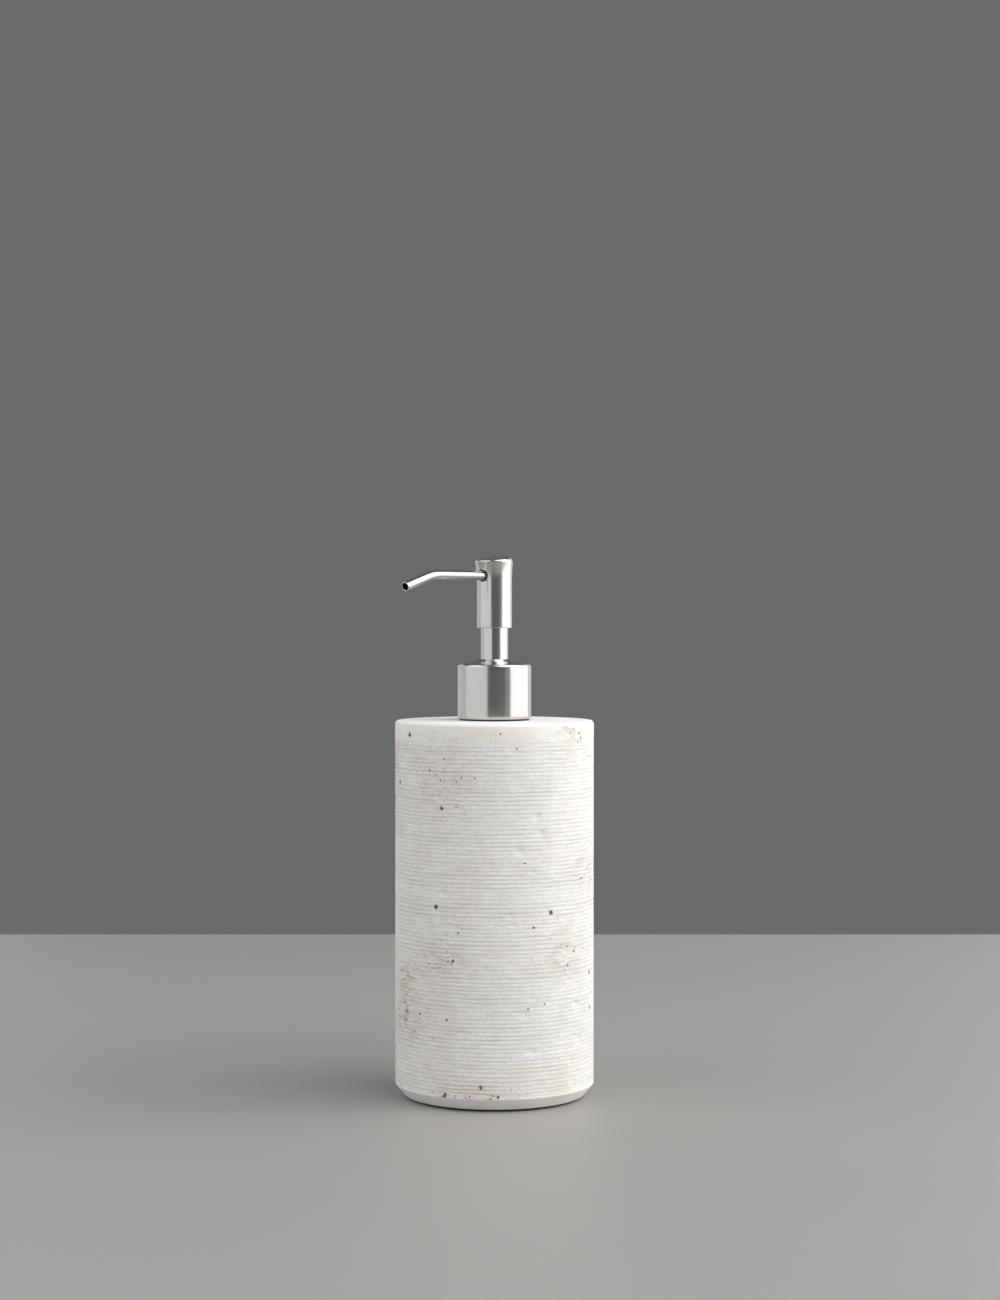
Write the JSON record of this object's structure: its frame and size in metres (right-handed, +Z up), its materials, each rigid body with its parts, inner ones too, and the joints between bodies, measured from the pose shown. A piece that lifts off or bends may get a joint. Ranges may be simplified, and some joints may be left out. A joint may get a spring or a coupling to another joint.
{
  "type": "soap pump dispenser",
  "caption": "Turned stone soap dispenser: grooved cylindrical vessel with a screw-on spring-return steel pump, slender head and thin bent spout.",
  "frame": {"origin": "centre of the underside of the foot pad, on the vessel's axis, where the dispenser rests", "axes": "+Z up along the vessel's axis; the spout points to -Y at rest; +X to the right seen from the spout's side"},
  "size_m": [0.07, 0.0799, 0.1899],
  "materials": {
    "stone": "fine turned grooves, honed, open pits",
    "plug_stone": "sawn and honed",
    "pad": "matte foam sheet",
    "insert_plastic": "moulded, dark grey",
    "gasket": "soft foam ring",
    "cap_plastic": "moulded",
    "collar_steel": "drawn stainless steel, satin polished",
    "neck_steel": "drawn stainless steel tube, satin polished",
    "head_steel": "drawn stainless steel, satin polished",
    "spout_steel": "bent stainless steel tube, polished",
    "pump_plastic": "moulded, natural white",
    "core_plastic": "moulded, dark",
    "seal_plastic": "moulded, waxy",
    "tube_plastic": "extruded, translucent",
    "spring_steel": "drawn stainless wire",
    "ball_steel": "ground"
  },
  "bodies": {
    "vessel": {"vessel_body": "stone", "vessel_base_plug": "plug_stone", "foot_pad": "pad", "neck_insert": "insert_plastic"},
    "pump_engine": {"sealing_gasket": "gasket", "pump_chamber": "pump_plastic", "stem_guide": "pump_plastic", "guide_sleeve": "neck_steel", "valve_cage": "pump_plastic", "return_spring": "spring_steel", "dip_tube": "tube_plastic"},
    "closure": {"closure_cap": "cap_plastic", "collar_shell": "collar_steel"},
    "plunger": {"stem": "pump_plastic", "piston_rod": "pump_plastic"},
    "piston": {"piston_seal": "seal_plastic"},
    "head": {"head_shell": "head_steel", "actuator_core": "core_plastic", "spout_tube": "spout_steel"},
    "inlet_valve": {"inlet_ball": "ball_steel"}
  },
  "joints": [
    {"name": "pump_rise", "type": "slide", "parent": "vessel", "child": "pump_engine", "axis": [0, 0, 1], "range_m": [0, 0.00397]},
    {"name": "collar_turn", "type": "hinge", "parent": "pump_engine", "child": "closure", "pos_m": [0, 0, 0.142], "axis": [0, 0, 1], "range_deg": [0, 450]},
    {"name": "head_press", "type": "slide", "parent": "pump_engine", "child": "plunger", "axis": [0, 0, -1], "range_m": [0, 0.0105], "stiffness_N_per_m": 600, "springref_m": -0.008, "deforming": ["return_spring"]},
    {"name": "head_swivel", "type": "hinge", "parent": "plunger", "child": "head", "pos_m": [0, 0, 0.174], "axis": [0, 0, 1], "continuous": true},
    {"name": "piston_valve", "type": "slide", "parent": "plunger", "child": "piston", "axis": [0, 0, 1], "range_m": [0, 0.0008]},
    {"name": "inlet_ball_lift", "type": "slide", "parent": "pump_engine", "child": "inlet_valve", "axis": [0, 0, 1], "range_m": [0, 0.0015]}
  ],
  "couplings": [
    {"joint": "pump_rise", "follows": "collar_turn", "m_per_rad": 0.00050532}
  ]
}
